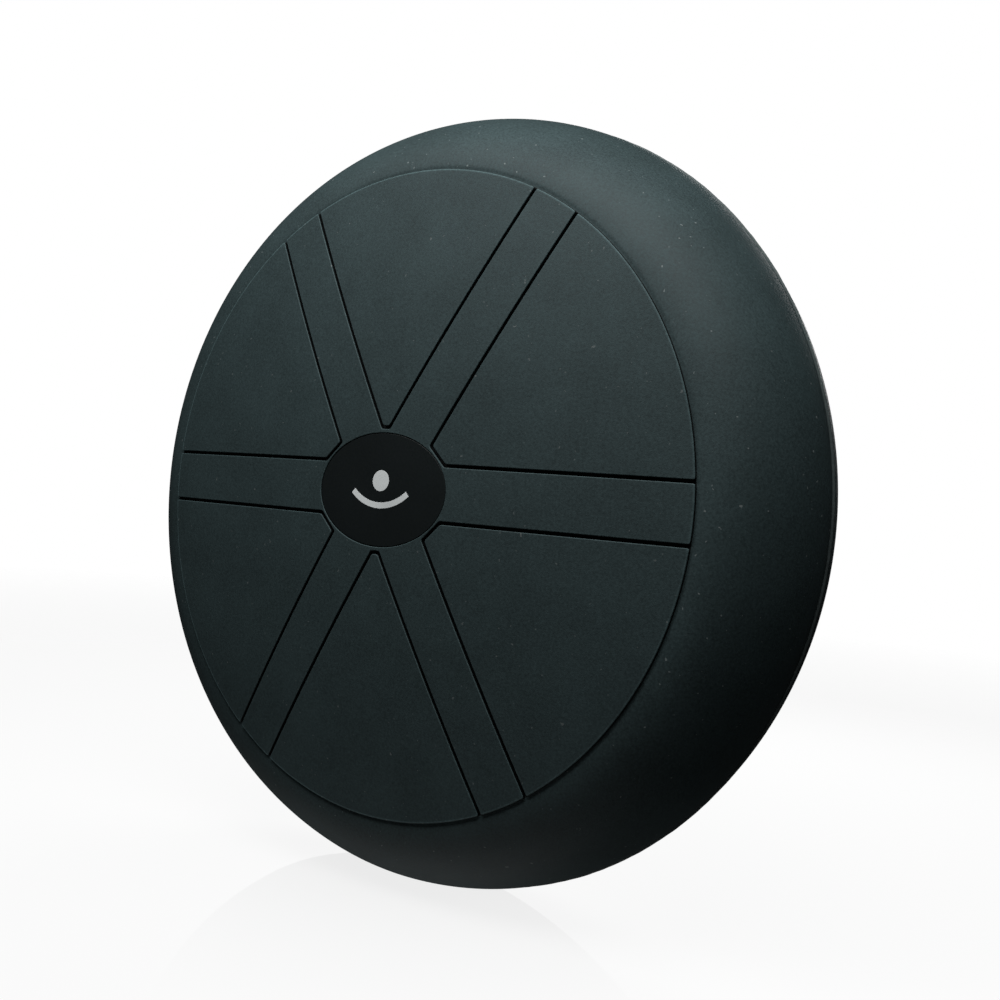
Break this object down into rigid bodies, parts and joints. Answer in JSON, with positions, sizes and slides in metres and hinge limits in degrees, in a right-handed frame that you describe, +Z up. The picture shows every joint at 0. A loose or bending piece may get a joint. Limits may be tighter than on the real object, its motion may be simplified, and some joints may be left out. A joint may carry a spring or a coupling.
{
  "type": "wobble cushion",
  "caption": "Round air-filled balance cushion in dark vinyl, with a grooved face that has an oval badge, a studded massage face, a rounded side and a plug valve in the rim.",
  "frame": {"origin": "middle of the small flat that the rim is pressed to where the cushion stands on it", "axes": "+Y is the disc's axis and points out of the studded face, -Y out of the grooved face. +Z is up and +X is to the right seen from the grooved face. The cushion is stored standing on its rim, as in the picture. In use it lies on one face."},
  "size_m": [0.3337, 0.1072, 0.3284],
  "materials": {
    "pvc_skin": "matte",
    "pvc_panels": "matte",
    "pvc_studs": "satin",
    "weld_bead": "satin",
    "badge": "satin",
    "badge_print": "matte",
    "valve_rubber": "satin",
    "plug": "satin"
  },
  "bodies": {
    "rim": {"rim_band": "pvc_skin", "weld_seam": "weld_bead", "valve_body": "valve_rubber", "front_wall": "pvc_skin", "back_wall": "pvc_skin"},
    "front_rim_ring": {"front_shoulder": "pvc_skin", "front_flex": "pvc_skin"},
    "front_face": {"front_face": "pvc_skin", "front_sector_1": "pvc_panels", "front_sector_2": "pvc_panels", "front_sector_3": "pvc_panels", "front_sector_4": "pvc_panels", "front_sector_5": "pvc_panels", "front_sector_6": "pvc_panels", "front_bar_1": "pvc_panels", "front_bar_2": "pvc_panels", "front_bar_3": "pvc_panels", "front_bar_4": "pvc_panels", "front_bar_5": "pvc_panels", "front_bar_6": "pvc_panels", "badge_plate": "badge", "badge_mark": "badge_print"},
    "back_rim_ring": {"back_shoulder": "pvc_skin", "back_flex": "pvc_skin"},
    "back_face": {"back_face": "pvc_skin", "back_ring_studs": "pvc_studs", "back_star_studs": "pvc_studs"},
    "plug": {"valve_plug": "plug"},
    "flap": {"valve_flap": "valve_rubber"}
  },
  "joints": [
    {"name": "front_tilt", "type": "hinge", "parent": "rim", "child": "front_rim_ring", "pos_m": [0, 0, 0.163], "axis": [1, 0, 0], "range_deg": [-4.5, 4.5], "stiffness_Nm_per_rad": 60, "deforming": ["front_wall"]},
    {"name": "front_press", "type": "slide", "parent": "front_rim_ring", "child": "front_face", "axis": [0, 1, 0], "range_m": [-0.002, 0.006], "stiffness_N_per_m": 8000, "deforming": ["front_flex"]},
    {"name": "back_tilt", "type": "hinge", "parent": "rim", "child": "back_rim_ring", "pos_m": [0, 0, 0.163], "axis": [0, 0, 1], "range_deg": [-4.5, 4.5], "stiffness_Nm_per_rad": 60, "deforming": ["back_wall"]},
    {"name": "back_press", "type": "slide", "parent": "back_rim_ring", "child": "back_face", "axis": [0, -1, 0], "range_m": [-0.002, 0.006], "stiffness_N_per_m": 8000, "deforming": ["back_flex"]},
    {"name": "plug_pull", "type": "slide", "parent": "rim", "child": "plug", "axis": [-1, 0, 0], "range_m": [0, 0.022]},
    {"name": "flap_open", "type": "hinge", "parent": "rim", "child": "flap", "pos_m": [-0.1461, 0, 0.1686], "axis": [0, -1, 0], "range_deg": [0, 40]}
  ]
}
